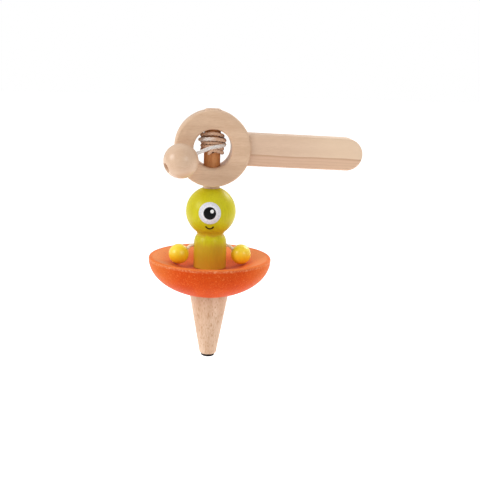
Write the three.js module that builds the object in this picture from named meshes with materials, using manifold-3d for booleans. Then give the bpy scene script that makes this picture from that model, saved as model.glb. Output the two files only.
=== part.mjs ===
// A wooden spinning top with its pull-cord launcher.
// A ring with a handle holds the top's stem upright. A cord is wound round the stem inside the ring's
// window and ends in a wooden ball. Pulling the ball spins the top, and the bare stem then drops out.
// Millimetres, +Z up. The model is laid out on the top's spin axis, with the floor that the tip would
// stand on at z = 0, and is then moved so that the middle of the handle's front face is the origin.

import * as THREE from 'three';
import { mergeVertices } from 'three/addons/utils/BufferGeometryUtils.js';
import Module from 'manifold-3d';

const wasm = await Module();
wasm.setup();

// ---------------------------------------------------------------- driving dimensions

const GAP = 0.3; // between pieces that touch, and round every glued dowel

// launcher
const RING_RADIUS = 18.2;
const RING_THICKNESS = 14.8;
const WINDOW_RADIUS = 9.2;
const RING_EDGE = 1.2; // rounding of the ring's four edges
const RING_HEIGHT = 105.0; // centre of the ring above the floor
const HANDLE_WIDTH = 15.4;
const HANDLE_THICKNESS = 12;
const HANDLE_EDGE = 1.4;
const HANDLE_REACH = 72.4; // from the spin axis to the end of the handle
const HANDLE_DROOP = 0.028; // radians below the horizontal
const HANDLE_RISE = 0.2; // of the handle's centre line above the ring's centre, at the spin axis
const HANDLE_DOWEL_RADIUS = 3;
const HANDLE_DOWEL_START = 12.4;
const HANDLE_DOWEL_END = 32;
const DOWEL_EDGE = 0.6; // rounding of both glued dowels' ends
const GRIP_REACH = 46; // from the spin axis to the middle of the grip

// top
const STEM_RADIUS = 4;
const STEM_BASE = 72.3;
const STEM_TOP = 123.7;
const STEM_EDGE = 0.9;
const STEM_CLEARANCE = 0.45; // round the stem, where it runs in the ring
const HEAD_RADIUS = 12.15;
const HEAD_HEIGHT = 74.15;
const BODY_RADIUS = 8.05;
const NECK_RADIUS = 6.55;
const NECK_HEIGHT = 62.5;
const CHIN_RADIUS = 7.1; // where the head's ball meets the neck's hollow
const SHOULDER_HEIGHT = 57.8;
const SHOULDER_PULL = new THREE.Vector2(7.8, 61.3); // control point of the shoulder's curve
const SAUCER_RADIUS = 30;
const SAUCER_RIM_HEIGHT = 51.75;
const SAUCER_DEPTH = 19.75;
const LIP_EDGE = 1.15; // rounding of the saucer's rim
const DISH_FLOOR_RADIUS = 13; // of the flat that the figure stands on, inside the sloping dish
const DISH_FLOOR = 46.2;
const CONE_TOP_RADIUS = 10;
const CONE_TOP = 34.4;
const CONE_TIP_RADIUS = 4.1;
const CONE_TIP = 1.9;
const CONE_TIP_EDGE = 0.5;
const CORE_RADIUS = 3;
const CORE_BASE = 20;
const CORE_TOP = 53;
const TACK_RADIUS = 3.35;
const TACK_RIM_LOW = 0.8;
const TACK_RIM_HIGH = 1.6;
const NAIL_RADIUS = 0.9;
const NAIL_TOP = 10.5;

// arms
const ARM_CORD_RADIUS = 0.75;
const SHOULDER_BORE_HEIGHT = 57.2;
const HAND_RADIUS = 4.95;
const HAND_REACH = 15.3; // from the spin axis
const HAND_HEIGHT = 52.6; // resting just clear of the dish
const HAND_BORE_DEPTH = 7;
const ARM_CORD_START = 1.1; // clear of the body, from the hinge point on its side
const ARM_CORD_STEPS = 4;

// pull cord
const CORD_RADIUS = 0.95;
const WINDING_INNER_RADIUS = STEM_RADIUS + GAP;
const LOWER_TURNS_RADIUS = 5.9;
const UPPER_TURNS_RADIUS = 6.95;
const WINDING_BASE = 101;
const WINDING_STEP = 106.2;
const UPPER_TURNS_TOP = 110.6;
const WINDING_TOP = 112.4;
const CORD_HOLE_HEIGHT = 103.9;
const CORD_HOLE_RADIUS = 1.2;
const BALL_RADIUS = 8.2;
const BALL_CENTRE = new THREE.Vector3(-15.2, -16.1, 100.2);
const PULL_DIRECTION = new THREE.Vector3(-0.863, -0.333, -0.38).normalize();
const TAIL_BEND = new THREE.Vector3(-1.3, -8.1, 105.7); // where the cord has come clear of the windings
const KNOT_POCKET_RADIUS = 2.2;
const KNOT_POCKET_MOUTH = 2.55;
const KNOT_POCKET_LIP = 0.4; // the mouth's straight edge, below the ball's pole
const KNOT_POCKET_FLARE = 0.6; // height over which the pocket widens to its mouth
const KNOT_POCKET_DEPTH = 7;
const KNOT_RADIUS = 1.9;
const KNOT_DEPTH = 4.6; // from the ball's surface to the knot's middle

// fineness
const LARGE_SEGMENTS = 60; // round the ring and its seat in the handle
const SAUCER_SEGMENTS = 48;
const TURNED_SEGMENTS = 36;
const MEDIUM_SEGMENTS = 28;
const SMALL_SEGMENTS = 20;
const BORE_SEGMENTS = 12;
const HANDLE_BEVEL_STEPS = 2;
const HANDLE_END_STEPS = 12;
const CORD_SIDES = 8;
const PULL_CORD_STEPS = 10;

// ---------------------------------------------------------------- materials

const wood = new THREE.MeshStandardMaterial({ color: 0xdcc0a0, roughness: 0.6, metalness: 0 });
const paleWood = new THREE.MeshStandardMaterial({ color: 0xe3c5aa, roughness: 0.65, metalness: 0 });
const greenPaint = new THREE.MeshStandardMaterial({ color: 0xc8be2d, roughness: 0.4, metalness: 0 });
const orangeWood = new THREE.MeshStandardMaterial({ color: 0xe76c2a, roughness: 0.6, metalness: 0 });
const yellowPaint = new THREE.MeshStandardMaterial({ color: 0xe8a524, roughness: 0.35, metalness: 0 });
const cottonCord = new THREE.MeshStandardMaterial({ color: 0xefe2cf, roughness: 0.9, metalness: 0 });
const darkSteel = new THREE.MeshStandardMaterial({ color: 0x2c2220, roughness: 0.4, metalness: 0.8 });

// ---------------------------------------------------------------- solids

// The geometry with shared corners merged and the slivers at the poles dropped.
function weld(geometry) {
  geometry.deleteAttribute('normal');
  geometry.deleteAttribute('uv');
  const merged = mergeVertices(geometry, 1e-4);
  const corners = merged.index.array;
  const kept = [];
  for (let i = 0; i < corners.length; i += 3) {
    const [a, b, c] = corners.slice(i, i + 3);
    if (a !== b && b !== c && c !== a) kept.push(a, b, c);
  }
  merged.setIndex(kept);
  return merged;
}

function toSolid(geometry) {
  const welded = weld(geometry);
  const vertProperties = new Float32Array(welded.attributes.position.array);
  const triVerts = new Uint32Array(welded.index.array);
  return new wasm.Manifold(new wasm.Mesh({ numProp: 3, vertProperties, triVerts }));
}

function toGeometry(solid) {
  const mesh = solid.getMesh();
  const geometry = new THREE.BufferGeometry();
  geometry.setAttribute('position', new THREE.BufferAttribute(mesh.vertProperties, 3));
  geometry.setIndex(new THREE.BufferAttribute(mesh.triVerts, 1));
  geometry.computeVertexNormals();
  return geometry;
}

// The body less each cutter.
function cut(body, ...cutters) {
  let solid = toSolid(body);
  for (const cutter of cutters) solid = solid.subtract(toSolid(cutter));
  return toGeometry(solid);
}

// A solid turned about Z from a path of (radius, height), with curveSteps chords to each curve of the path.
function turned(path, segments, curveSteps = 1) {
  return new THREE.LatheGeometry(path.getPoints(curveSteps), segments).rotateX(Math.PI / 2);
}

// A cylinder standing on Z, from one height to another.
function rod(radius, low, high, segments = SMALL_SEGMENTS) {
  const geometry = new THREE.CylinderGeometry(radius, radius, high - low, segments);
  return geometry.rotateX(Math.PI / 2).translate(0, 0, (low + high) / 2);
}

// A cylinder on X, from one place to another.
function crossRod(radius, start, end, segments = SMALL_SEGMENTS) {
  return rod(radius, start, end, segments).rotateY(Math.PI / 2);
}

function sphere(radius, segments) {
  const rows = Math.round(0.6 * segments);
  return new THREE.SphereGeometry(radius, segments, rows);
}

// A rod with both its end edges rounded.
function roundEndedRod(radius, low, high, edge, segments) {
  const path = new THREE.Path();
  path.moveTo(0, low);
  path.lineTo(radius - edge, low);
  path.absarc(radius - edge, low + edge, edge, -Math.PI / 2, 0);
  path.absarc(radius - edge, high - edge, edge, 0, Math.PI / 2);
  path.lineTo(0, high);
  return turned(path, segments);
}

// A round cord along a curve.
function cord(curve, radius, steps) {
  const section = new THREE.Shape();
  for (let i = 0; i < CORD_SIDES; i += 1) {
    const angle = (2 * Math.PI * i) / CORD_SIDES;
    const corner = [radius * Math.cos(angle), radius * Math.sin(angle)];
    if (i === 0) section.moveTo(...corner);
    else section.lineTo(...corner);
  }
  return new THREE.ExtrudeGeometry(section, { extrudePath: curve, steps, bevelEnabled: false });
}

// ---------------------------------------------------------------- launcher

// The frame of the handle: X runs along it from the spin axis, level with its centre line.
function handleFrame() {
  const frame = new THREE.Group();
  frame.position.set(0, 0, RING_HEIGHT + HANDLE_RISE);
  frame.rotation.y = HANDLE_DROOP;
  return frame;
}

function inHandleFrame(geometry) {
  const frame = handleFrame();
  frame.updateMatrix();
  return geometry.applyMatrix4(frame.matrix);
}

function launcherRing() {
  const half = RING_THICKNESS / 2 - RING_EDGE;
  const outer = RING_RADIUS - RING_EDGE;
  const inner = WINDOW_RADIUS + RING_EDGE;
  const section = new THREE.Path();
  section.moveTo(inner, -half - RING_EDGE);
  section.lineTo(outer, -half - RING_EDGE);
  section.absarc(outer, -half, RING_EDGE, -Math.PI / 2, 0);
  section.absarc(outer, half, RING_EDGE, 0, Math.PI / 2);
  section.absarc(inner, half, RING_EDGE, Math.PI / 2, Math.PI);
  section.absarc(inner, -half, RING_EDGE, Math.PI, 1.5 * Math.PI);
  const ring = new THREE.LatheGeometry(section.getPoints(1), LARGE_SEGMENTS);
  ring.translate(0, 0, RING_HEIGHT);
  const stemBore = rod(STEM_RADIUS + STEM_CLEARANCE, 0, STEM_TOP + RING_RADIUS);
  const dowelBore = crossRod(HANDLE_DOWEL_RADIUS + GAP, HANDLE_DOWEL_START - GAP, HANDLE_DOWEL_END);
  return cut(ring, stemBore, inHandleFrame(dowelBore));
}

// A flat bar with a round end and rounded edges, its inner end hollowed to fit the ring.
function launcherHandle() {
  const half = HANDLE_WIDTH / 2 - HANDLE_EDGE;
  const endCentre = HANDLE_REACH - HANDLE_WIDTH / 2;
  const outline = new THREE.Shape();
  outline.moveTo(WINDOW_RADIUS, -half);
  outline.lineTo(endCentre, -half);
  outline.absarc(endCentre, 0, half, -Math.PI / 2, Math.PI / 2);
  outline.lineTo(WINDOW_RADIUS, half);
  const bar = new THREE.ExtrudeGeometry(outline, {
    depth: HANDLE_THICKNESS - 2 * HANDLE_EDGE,
    bevelThickness: HANDLE_EDGE,
    bevelSize: HANDLE_EDGE,
    bevelSegments: HANDLE_BEVEL_STEPS,
    curveSegments: HANDLE_END_STEPS,
  });
  bar.translate(0, 0, HANDLE_EDGE - HANDLE_THICKNESS / 2).rotateX(Math.PI / 2);
  const seatRadius = RING_RADIUS + GAP;
  const seat = new THREE.CylinderGeometry(seatRadius, seatRadius, 2 * HANDLE_THICKNESS, LARGE_SEGMENTS);
  seat.translate(0, 0, -HANDLE_RISE);
  const bore = crossRod(HANDLE_DOWEL_RADIUS + GAP, 0, HANDLE_DOWEL_END + GAP);
  return cut(bar, seat, bore);
}

function handleDowel() {
  const start = HANDLE_DOWEL_START;
  const end = HANDLE_DOWEL_END;
  return roundEndedRod(HANDLE_DOWEL_RADIUS, start, end, DOWEL_EDGE, SMALL_SEGMENTS).rotateY(Math.PI / 2);
}

// ---------------------------------------------------------------- top

function stem() {
  const dowel = roundEndedRod(STEM_RADIUS, STEM_BASE, STEM_TOP, STEM_EDGE, MEDIUM_SEGMENTS);
  const cordHole = rod(CORD_HOLE_RADIUS, -BODY_RADIUS, BODY_RADIUS, BORE_SEGMENTS).rotateX(Math.PI / 2);
  return cut(dowel, cordHole.translate(0, 0, CORD_HOLE_HEIGHT));
}

// Head, neck and body turned from one peg, bored for the stem, the core dowel and the arm cord.
function figurePeg() {
  const base = DISH_FLOOR + GAP;
  const chinAngle = Math.acos(CHIN_RADIUS / HEAD_RADIUS);
  const chinHeight = HEAD_HEIGHT - HEAD_RADIUS * Math.sin(chinAngle);
  const path = new THREE.Path();
  path.moveTo(0, base);
  path.lineTo(BODY_RADIUS, base);
  path.lineTo(BODY_RADIUS, SHOULDER_HEIGHT);
  path.quadraticCurveTo(SHOULDER_PULL.x, SHOULDER_PULL.y, NECK_RADIUS, NECK_HEIGHT);
  path.quadraticCurveTo(NECK_RADIUS - 0.3, NECK_HEIGHT + 0.6, CHIN_RADIUS, chinHeight);
  path.absarc(0, HEAD_HEIGHT, HEAD_RADIUS, -chinAngle, Math.PI / 2);
  const stemBore = rod(STEM_RADIUS + GAP, STEM_BASE - GAP, RING_HEIGHT);
  const coreBore = rod(CORE_RADIUS + GAP, 0, CORE_TOP + GAP);
  const armBore = crossRod(ARM_CORD_RADIUS + GAP, -SAUCER_RADIUS, SAUCER_RADIUS, BORE_SEGMENTS);
  armBore.translate(0, 0, SHOULDER_BORE_HEIGHT);
  return cut(turned(path, TURNED_SEGMENTS, 5), stemBore, coreBore, armBore);
}

// A thick bowl with a shallow dish in its top and a seat for the cone underneath.
function saucer() {
  const rimHeight = SAUCER_RIM_HEIGHT - LIP_EDGE;
  const path = new THREE.Path();
  path.moveTo(0, SAUCER_RIM_HEIGHT - SAUCER_DEPTH);
  path.absellipse(0, rimHeight, SAUCER_RADIUS, SAUCER_DEPTH - LIP_EDGE, -Math.PI / 2, 0);
  path.absarc(SAUCER_RADIUS - LIP_EDGE, rimHeight, LIP_EDGE, 0, Math.PI / 2);
  path.lineTo(DISH_FLOOR_RADIUS, DISH_FLOOR);
  path.lineTo(0, DISH_FLOOR);
  const coneSeat = rod(CONE_TOP_RADIUS + GAP, 0, CONE_TOP + GAP, TURNED_SEGMENTS);
  const coreBore = rod(CORE_RADIUS + GAP, 0, SAUCER_RIM_HEIGHT);
  return cut(turned(path, SAUCER_SEGMENTS, 4), coneSeat, coreBore);
}

function cone() {
  const edge = CONE_TIP_EDGE;
  const path = new THREE.Path();
  path.moveTo(0, CONE_TIP);
  path.lineTo(CONE_TIP_RADIUS - edge, CONE_TIP);
  path.quadraticCurveTo(CONE_TIP_RADIUS, CONE_TIP, CONE_TIP_RADIUS + edge / 5, CONE_TIP + edge);
  path.lineTo(CONE_TOP_RADIUS, CONE_TOP);
  path.lineTo(0, CONE_TOP);
  const coreBore = rod(CORE_RADIUS + GAP, CORE_BASE - GAP, SAUCER_RIM_HEIGHT);
  const nailBore = rod(NAIL_RADIUS + GAP, 0, NAIL_TOP + GAP, BORE_SEGMENTS);
  return cut(turned(path, TURNED_SEGMENTS, 2), coreBore, nailBore);
}

function coreDowel() {
  return roundEndedRod(CORE_RADIUS, CORE_BASE, CORE_TOP, DOWEL_EDGE, SMALL_SEGMENTS);
}

// A domed nail: the head that the top spins on, and the shank driven up into the cone.
function tipTack() {
  const path = new THREE.Path();
  path.moveTo(0, 0);
  path.quadraticCurveTo(TACK_RADIUS * 0.75, 0, TACK_RADIUS, TACK_RIM_LOW);
  path.lineTo(TACK_RADIUS, TACK_RIM_HIGH);
  path.lineTo(NAIL_RADIUS, TACK_RIM_HIGH);
  path.lineTo(NAIL_RADIUS, NAIL_TOP - 2 * NAIL_RADIUS);
  path.lineTo(0, NAIL_TOP);
  return turned(path, SMALL_SEGMENTS, 3);
}

// ---------------------------------------------------------------- arms

// Both arms are built on +X; side is -1 for the arm on -X, which is turned half round.
const armDrop = SHOULDER_BORE_HEIGHT - HAND_HEIGHT;
const armRun = HAND_REACH - BODY_RADIUS;
const armLength = Math.hypot(armRun, armDrop);
const armSlope = Math.atan2(armDrop, armRun);

// The frame of an arm: its origin is on the body's side, and X runs down along the arm.
function armFrame(side) {
  const frame = new THREE.Group();
  frame.position.set(side * BODY_RADIUS, 0, SHOULDER_BORE_HEIGHT);
  frame.rotation.set(0, armSlope, side > 0 ? 0 : Math.PI, 'ZYX');
  return frame;
}

function hand() {
  const bead = sphere(HAND_RADIUS, SMALL_SEGMENTS).translate(armLength, 0, 0);
  const boreEnd = armLength - HAND_RADIUS + HAND_BORE_DEPTH;
  return cut(bead, crossRod(ARM_CORD_RADIUS + GAP, 0, boreEnd, BORE_SEGMENTS));
}

function armCord() {
  const end = armLength - HAND_RADIUS + HAND_BORE_DEPTH - GAP;
  const line = new THREE.LineCurve3(new THREE.Vector3(ARM_CORD_START, 0, 0), new THREE.Vector3(end, 0, 0));
  return cord(line, ARM_CORD_RADIUS, ARM_CORD_STEPS);
}

function armCordCore() {
  const half = BODY_RADIUS - GAP;
  const start = new THREE.Vector3(-half, 0, SHOULDER_BORE_HEIGHT);
  const end = new THREE.Vector3(half, 0, SHOULDER_BORE_HEIGHT);
  return cord(new THREE.LineCurve3(start, end), ARM_CORD_RADIUS, ARM_CORD_STEPS);
}

// ---------------------------------------------------------------- pull cord

// The outer shape of the turns on the stem: one layer below, two above, within the window's round.
function woundCord() {
  const edge = CORD_RADIUS;
  const path = new THREE.Path();
  path.moveTo(WINDING_INNER_RADIUS, WINDING_BASE);
  path.lineTo(LOWER_TURNS_RADIUS - edge, WINDING_BASE);
  path.absarc(LOWER_TURNS_RADIUS - edge, WINDING_BASE + edge, edge, -Math.PI / 2, 0);
  path.lineTo(LOWER_TURNS_RADIUS, WINDING_STEP);
  path.lineTo(UPPER_TURNS_RADIUS, WINDING_STEP + edge);
  path.absarc(UPPER_TURNS_RADIUS - edge, UPPER_TURNS_TOP - edge, edge, 0, Math.PI / 2);
  path.lineTo(LOWER_TURNS_RADIUS - edge, WINDING_TOP);
  path.lineTo(WINDING_INNER_RADIUS, WINDING_TOP);
  path.lineTo(WINDING_INNER_RADIUS, WINDING_BASE);
  return turned(path, MEDIUM_SEGMENTS);
}

// The frame of the pull ball: its origin is the ball's centre, and Z runs the way the ball is pulled.
function ballFrame() {
  const frame = new THREE.Group();
  frame.position.copy(BALL_CENTRE);
  frame.quaternion.setFromUnitVectors(new THREE.Vector3(0, 0, 1), PULL_DIRECTION);
  return frame;
}

function pullBall() {
  const ball = sphere(BALL_RADIUS, MEDIUM_SEGMENTS).rotateX(Math.PI / 2);
  const cordBore = rod(CORD_RADIUS + GAP, -2 * BALL_RADIUS, 2 * BALL_RADIUS);
  const pocketFloor = BALL_RADIUS - KNOT_POCKET_DEPTH;
  const flareTop = BALL_RADIUS - KNOT_POCKET_LIP;
  const pocket = new THREE.Path();
  pocket.moveTo(0, pocketFloor);
  pocket.lineTo(KNOT_POCKET_RADIUS, pocketFloor);
  pocket.lineTo(KNOT_POCKET_RADIUS, flareTop - KNOT_POCKET_FLARE);
  pocket.lineTo(KNOT_POCKET_MOUTH, flareTop);
  pocket.lineTo(KNOT_POCKET_MOUTH, 2 * BALL_RADIUS);
  pocket.lineTo(0, 2 * BALL_RADIUS);
  return cut(ball, cordBore, turned(pocket, SMALL_SEGMENTS));
}

// A stopper knot, drawn up against the floor of the ball's pocket.
function pullKnot() {
  return sphere(KNOT_RADIUS, BORE_SEGMENTS).translate(0, 0, BALL_RADIUS - KNOT_DEPTH);
}

// The stretch of cord from the windings to the knot.
function pullCord() {
  const knotFace = BALL_RADIUS - KNOT_DEPTH - KNOT_RADIUS - GAP;
  const alongBore = (distance) => BALL_CENTRE.clone().addScaledVector(PULL_DIRECTION, distance);
  const route = new THREE.CatmullRomCurve3([
    TAIL_BEND,
    alongBore(-1.2 * BALL_RADIUS),
    alongBore(-0.9 * BALL_RADIUS),
    alongBore(0),
    alongBore(knotFace),
  ]);
  return cord(route, CORD_RADIUS, PULL_CORD_STEPS);
}

// ---------------------------------------------------------------- assembly

function addPiece(parent, name, geometry, material) {
  const mesh = new THREE.Mesh(geometry, material);
  mesh.name = name;
  parent.add(mesh);
}

function addArm(parent, sideName, side) {
  const frame = armFrame(side);
  addPiece(frame, `${sideName}_arm_cord`, armCord(), cottonCord);
  addPiece(frame, `${sideName}_hand`, hand(), yellowPaint);
  parent.add(frame);
}

const toy = new THREE.Group();

addPiece(toy, 'launcher_ring', launcherRing(), wood);
const handle = handleFrame();
addPiece(handle, 'launcher_handle', launcherHandle(), wood);
addPiece(handle, 'handle_dowel', handleDowel(), wood);
toy.add(handle);

addPiece(toy, 'stem', stem(), wood);
addPiece(toy, 'figure_peg', figurePeg(), greenPaint);
addPiece(toy, 'saucer', saucer(), orangeWood);
addPiece(toy, 'core_dowel', coreDowel(), wood);
addPiece(toy, 'cone', cone(), paleWood);
addPiece(toy, 'tip_tack', tipTack(), darkSteel);

addPiece(toy, 'arm_cord_core', armCordCore(), cottonCord);
addArm(toy, 'left', -1);
addArm(toy, 'right', 1);

addPiece(toy, 'wound_cord', woundCord(), cottonCord);
addPiece(toy, 'pull_cord', pullCord(), cottonCord);
const ballGroup = ballFrame();
addPiece(ballGroup, 'pull_ball', pullBall(), wood);
addPiece(ballGroup, 'pull_knot', pullKnot(), cottonCord);
toy.add(ballGroup);

const gripHeight = RING_HEIGHT + HANDLE_RISE - GRIP_REACH * Math.sin(HANDLE_DROOP);
toy.position.set(-GRIP_REACH * Math.cos(HANDLE_DROOP), HANDLE_THICKNESS / 2, -gripHeight);

const part = new THREE.Group();
part.add(toy);
export default part;
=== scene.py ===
"""The looks of a wooden spinning top held in its pull-cord launcher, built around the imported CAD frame.

Lengths in this script are millimetres on the top's spin axis, with z = 0 at the tip, unless a name
says otherwise. at() turns such a place into the row frame's metres. -X is the side that the pull ball
hangs on.
"""

import math

import bmesh
import bpy
import numpy as np
from mathutils import Matrix, Vector


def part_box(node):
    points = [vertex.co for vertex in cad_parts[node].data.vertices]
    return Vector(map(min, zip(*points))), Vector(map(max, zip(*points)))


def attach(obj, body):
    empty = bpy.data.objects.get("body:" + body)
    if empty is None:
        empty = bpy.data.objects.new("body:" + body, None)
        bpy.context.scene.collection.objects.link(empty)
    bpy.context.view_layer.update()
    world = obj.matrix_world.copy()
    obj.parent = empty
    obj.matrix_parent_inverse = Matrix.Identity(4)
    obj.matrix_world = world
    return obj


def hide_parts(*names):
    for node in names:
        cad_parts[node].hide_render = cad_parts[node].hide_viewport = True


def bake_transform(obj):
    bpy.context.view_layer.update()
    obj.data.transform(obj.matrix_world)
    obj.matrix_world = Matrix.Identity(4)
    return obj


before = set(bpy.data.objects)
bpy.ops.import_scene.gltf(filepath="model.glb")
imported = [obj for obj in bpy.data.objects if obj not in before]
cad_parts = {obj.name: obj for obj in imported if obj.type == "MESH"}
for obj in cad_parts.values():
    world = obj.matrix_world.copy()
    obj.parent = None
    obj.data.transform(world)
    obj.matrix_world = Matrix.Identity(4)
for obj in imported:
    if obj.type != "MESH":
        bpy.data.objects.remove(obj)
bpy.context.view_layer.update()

MM = 0.001
SHARP_DEGREES = 32  # edges sharper than this stay crisp


def middle(node):
    low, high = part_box(node)
    return (low + high) / 2


spin_axis = middle("stem")
ORIGIN = Vector((spin_axis.x, spin_axis.y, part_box("tip_tack")[0].z))


def at(x, y, z):
    """A place given in millimetres on the spin axis, in the row frame."""
    return ORIGIN + Vector((x, y, z)) * MM


def from_frame(place):
    """A place in the row frame, in millimetres on the spin axis."""
    return (place - ORIGIN) / MM


# ---------------------------------------------------------------- sizes, as in the CAD source

GAP = 0.3
GLUE_LINE = 0.06  # between the handle and the ring

RING_CENTRE = from_frame(middle("launcher_ring"))
RING_RADIUS = (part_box("launcher_ring")[1].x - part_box("launcher_ring")[0].x) / MM / 2
RING_HALF_THICKNESS = (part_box("launcher_ring")[1].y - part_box("launcher_ring")[0].y) / MM / 2
WINDOW_RADIUS = 9.2
RING_EDGE = 1.2
STEM_CLEARANCE = 0.45

HANDLE_HALF_WIDTH = 7.7
HANDLE_HALF_THICKNESS = 6
HANDLE_EDGE = 1.4
HANDLE_REACH = 72.4
HANDLE_DROOP = 0.028
HANDLE_RISE = 0.2
YEAR_LINE = -1.8  # of the handle's one strong year ring, from its centre line
DOWEL_RADIUS = 3
DOWEL_START = 12.4
DOWEL_END = 32

STEM_RADIUS = 4
STEM_BASE = 72.3
STEM_TOP = from_frame(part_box("stem")[1]).z
HEAD_RADIUS = 12.15
HEAD_HEIGHT = 74.15
BODY_RADIUS = 8.05
NECK_RADIUS = 6.55
NECK_HEIGHT = 62.5
CHIN_RADIUS = 7.1
SHOULDER_HEIGHT = 57.8
SHOULDER_PULL = (7.8, 61.3)
CORE_TOP = 53

SAUCER_RADIUS = 30
SAUCER_RIM = from_frame(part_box("saucer")[1]).z
SAUCER_DEPTH = 19.75
DISH_FLOOR_RADIUS = 13
DISH_FLOOR = 46.2
LIP_EDGE = 1.15
DISH_SLOPE = (SAUCER_RIM - DISH_FLOOR) / (SAUCER_RADIUS - LIP_EDGE - DISH_FLOOR_RADIUS)
CONE_TOP_RADIUS = 10
CONE_TOP = from_frame(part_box("cone")[1]).z
CONE_TIP_RADIUS = 4.1
CONE_TIP = from_frame(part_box("cone")[0]).z
CORE_RADIUS = 3
CORE_BASE = 20
TACK_RADIUS = 3.35
TACK_RIM_LOW = 0.8
TACK_RIM_HIGH = 1.6
NAIL_RADIUS = 0.9
NAIL_TOP = 10.5

ARM_CORD_RADIUS = 0.75
ARM_CORD_FLUFF = 1.1  # the laid cord's radius, as a share of the plain one's
ARM_LAY_LENGTH = 4.6
SHOULDER_BORE_HEIGHT = 57.2
HAND_RADIUS = 4.95
HAND_REACH = 15.3
HAND_HEIGHT = 52.6
HAND_BORE_DEPTH = 7

CORD_RADIUS = 0.95
CORD_HOLE_HEIGHT = 103.9
CORD_HOLE_RADIUS = 1.2
BALL_RADIUS = 8.2
BALL_CENTRE = from_frame(middle("pull_ball"))
PULL_DIRECTION = Vector((-0.863, -0.333, -0.38)).normalized()
KNOT_POCKET_RADIUS = 2.2
KNOT_POCKET_MOUTH = 2.55
KNOT_POCKET_DEPTH = 7
KNOT_DEPTH = 4.6
KNOT_SCALE = 0.46  # of the trefoil curve that the knot follows
KNOT_CORD_RADIUS = 0.7
KNOT_LAY_LENGTH = 4.2
INNER_END_RADIUS = 0.8
UNSHADED_WINDING = 34  # of the winding's outer end, as pale as the pull cord; the rest of the wound cord has painted shade

# ---------------------------------------------------------------- camera, light and floor

CAMERA_TARGET = (14.7, 0, 59.8)
CAMERA_DISTANCE = 430.8
CAMERA_TURN = math.radians(-5.09)
CAMERA_RISE = math.radians(11.93)
CAMERA_ROLL = math.radians(1.71)
CAMERA_LENS = 65.6  # for a sensor 36 mm wide
FLOOR_DROP = 60  # below the tip, so that the top has room to fall out of the launcher


def add_camera():
    camera = bpy.data.objects.new("camera", bpy.data.cameras.new("camera"))
    camera.data.lens = CAMERA_LENS
    camera.data.sensor_width = 36
    camera.data.clip_start = 0.01
    camera.data.clip_end = 20
    back = Vector((
        math.sin(CAMERA_TURN) * math.cos(CAMERA_RISE),
        -math.cos(CAMERA_TURN) * math.cos(CAMERA_RISE),
        math.sin(CAMERA_RISE),
    ))
    level = back.to_track_quat("Z", "Y").to_matrix().to_4x4()
    camera.matrix_world = (
        Matrix.Translation(at(*CAMERA_TARGET) + back * CAMERA_DISTANCE * MM)
        @ level
        @ Matrix.Rotation(CAMERA_ROLL, 4, "Z")
    )
    bpy.context.scene.collection.objects.link(camera)
    bpy.context.scene.camera = camera


def add_area_light(name, place, target, size, power, colour=(1, 1, 1)):
    light = bpy.data.objects.new(name, bpy.data.lights.new(name, "AREA"))
    light.data.shape = "DISK"
    light.data.size = size * MM
    light.data.energy = power
    light.data.color = colour
    direction = at(*place) - at(*target)
    turn = direction.to_track_quat("Z", "Y").to_matrix().to_4x4()
    light.matrix_world = Matrix.Translation(at(*place)) @ turn
    bpy.context.scene.collection.objects.link(light)


def add_world(front, back):
    """A studio that is brighter behind and above the object than in front. The camera sees plain white."""
    world = bpy.data.worlds.new("studio")
    world.use_nodes = True
    nodes = world.node_tree.nodes
    links = world.node_tree.links
    background = nodes["Background"]
    background.inputs["Color"].default_value = (1, 1, 1, 1)
    away = nodes.new("ShaderNodeVectorMath")
    away.operation = "DOT_PRODUCT"
    links.new(nodes.new("ShaderNodeTexCoord").outputs["Generated"], away.inputs[0])
    away.inputs[1].default_value = (0, 0.85, 0.5)
    brightness = nodes.new("ShaderNodeMapRange")
    brightness.interpolation_type = "SMOOTHSTEP"
    for name, value in (("From Min", -0.9), ("From Max", 0.5), ("To Min", front), ("To Max", back)):
        brightness.inputs[name].default_value = value
    links.new(away.outputs["Value"], brightness.inputs["Value"])
    seen = nodes.new("ShaderNodeMix")
    links.new(nodes.new("ShaderNodeLightPath").outputs["Is Camera Ray"], seen.inputs[0])
    links.new(brightness.outputs[0], seen.inputs[2])
    seen.inputs[3].default_value = 1
    links.new(seen.outputs[0], background.inputs["Strength"])
    bpy.context.scene.world = world


def add_studio():
    add_world(0.18, 0.75)
    add_area_light("left_box", (-410, -175, 290), (0, 0, 75), 240, 1.1)
    add_area_light("right_box", (305, 290, 340), (0, 0, 75), 240, 0.9)
    add_area_light("front_box", (260, -400, 280), (0, 0, 75), 200, 0.55)
    bpy.context.scene.view_settings.view_transform = "Standard"


def add_floor(material):
    half = 4000
    outline = ((-half, -half), (half, -half), (half, half), (-half, half))
    corners = [at(x, y, -FLOOR_DROP) for x, y in outline]
    floor = add_mesh("floor", corners, [(0, 1, 2, 3)])
    floor.data.materials.append(material)


# ---------------------------------------------------------------- mesh helpers


def add_mesh(name, places, faces, sharp_degrees=SHARP_DEGREES):
    """A smooth-shaded object from places in the row frame. Edges sharper than that angle stay crisp."""
    mesh = bpy.data.meshes.new(name)
    mesh.from_pydata([tuple(place) for place in places], [], faces)
    made = bmesh.new()
    made.from_mesh(mesh)
    bmesh.ops.recalc_face_normals(made, faces=made.faces)
    made.to_mesh(mesh)
    made.free()
    mesh.shade_smooth()
    mesh.set_sharp_from_angle(angle=math.radians(sharp_degrees))
    obj = bpy.data.objects.new(name, mesh)
    bpy.context.scene.collection.objects.link(obj)
    return obj


def arc(centre_radius, centre_height, radius, start_degrees, end_degrees, steps=6):
    """Points of (radius, height) on an arc, as part of a turned profile."""
    angles = np.radians(np.linspace(start_degrees, end_degrees, steps + 1))
    return [(centre_radius + radius * math.cos(a), centre_height + radius * math.sin(a)) for a in angles]


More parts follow.
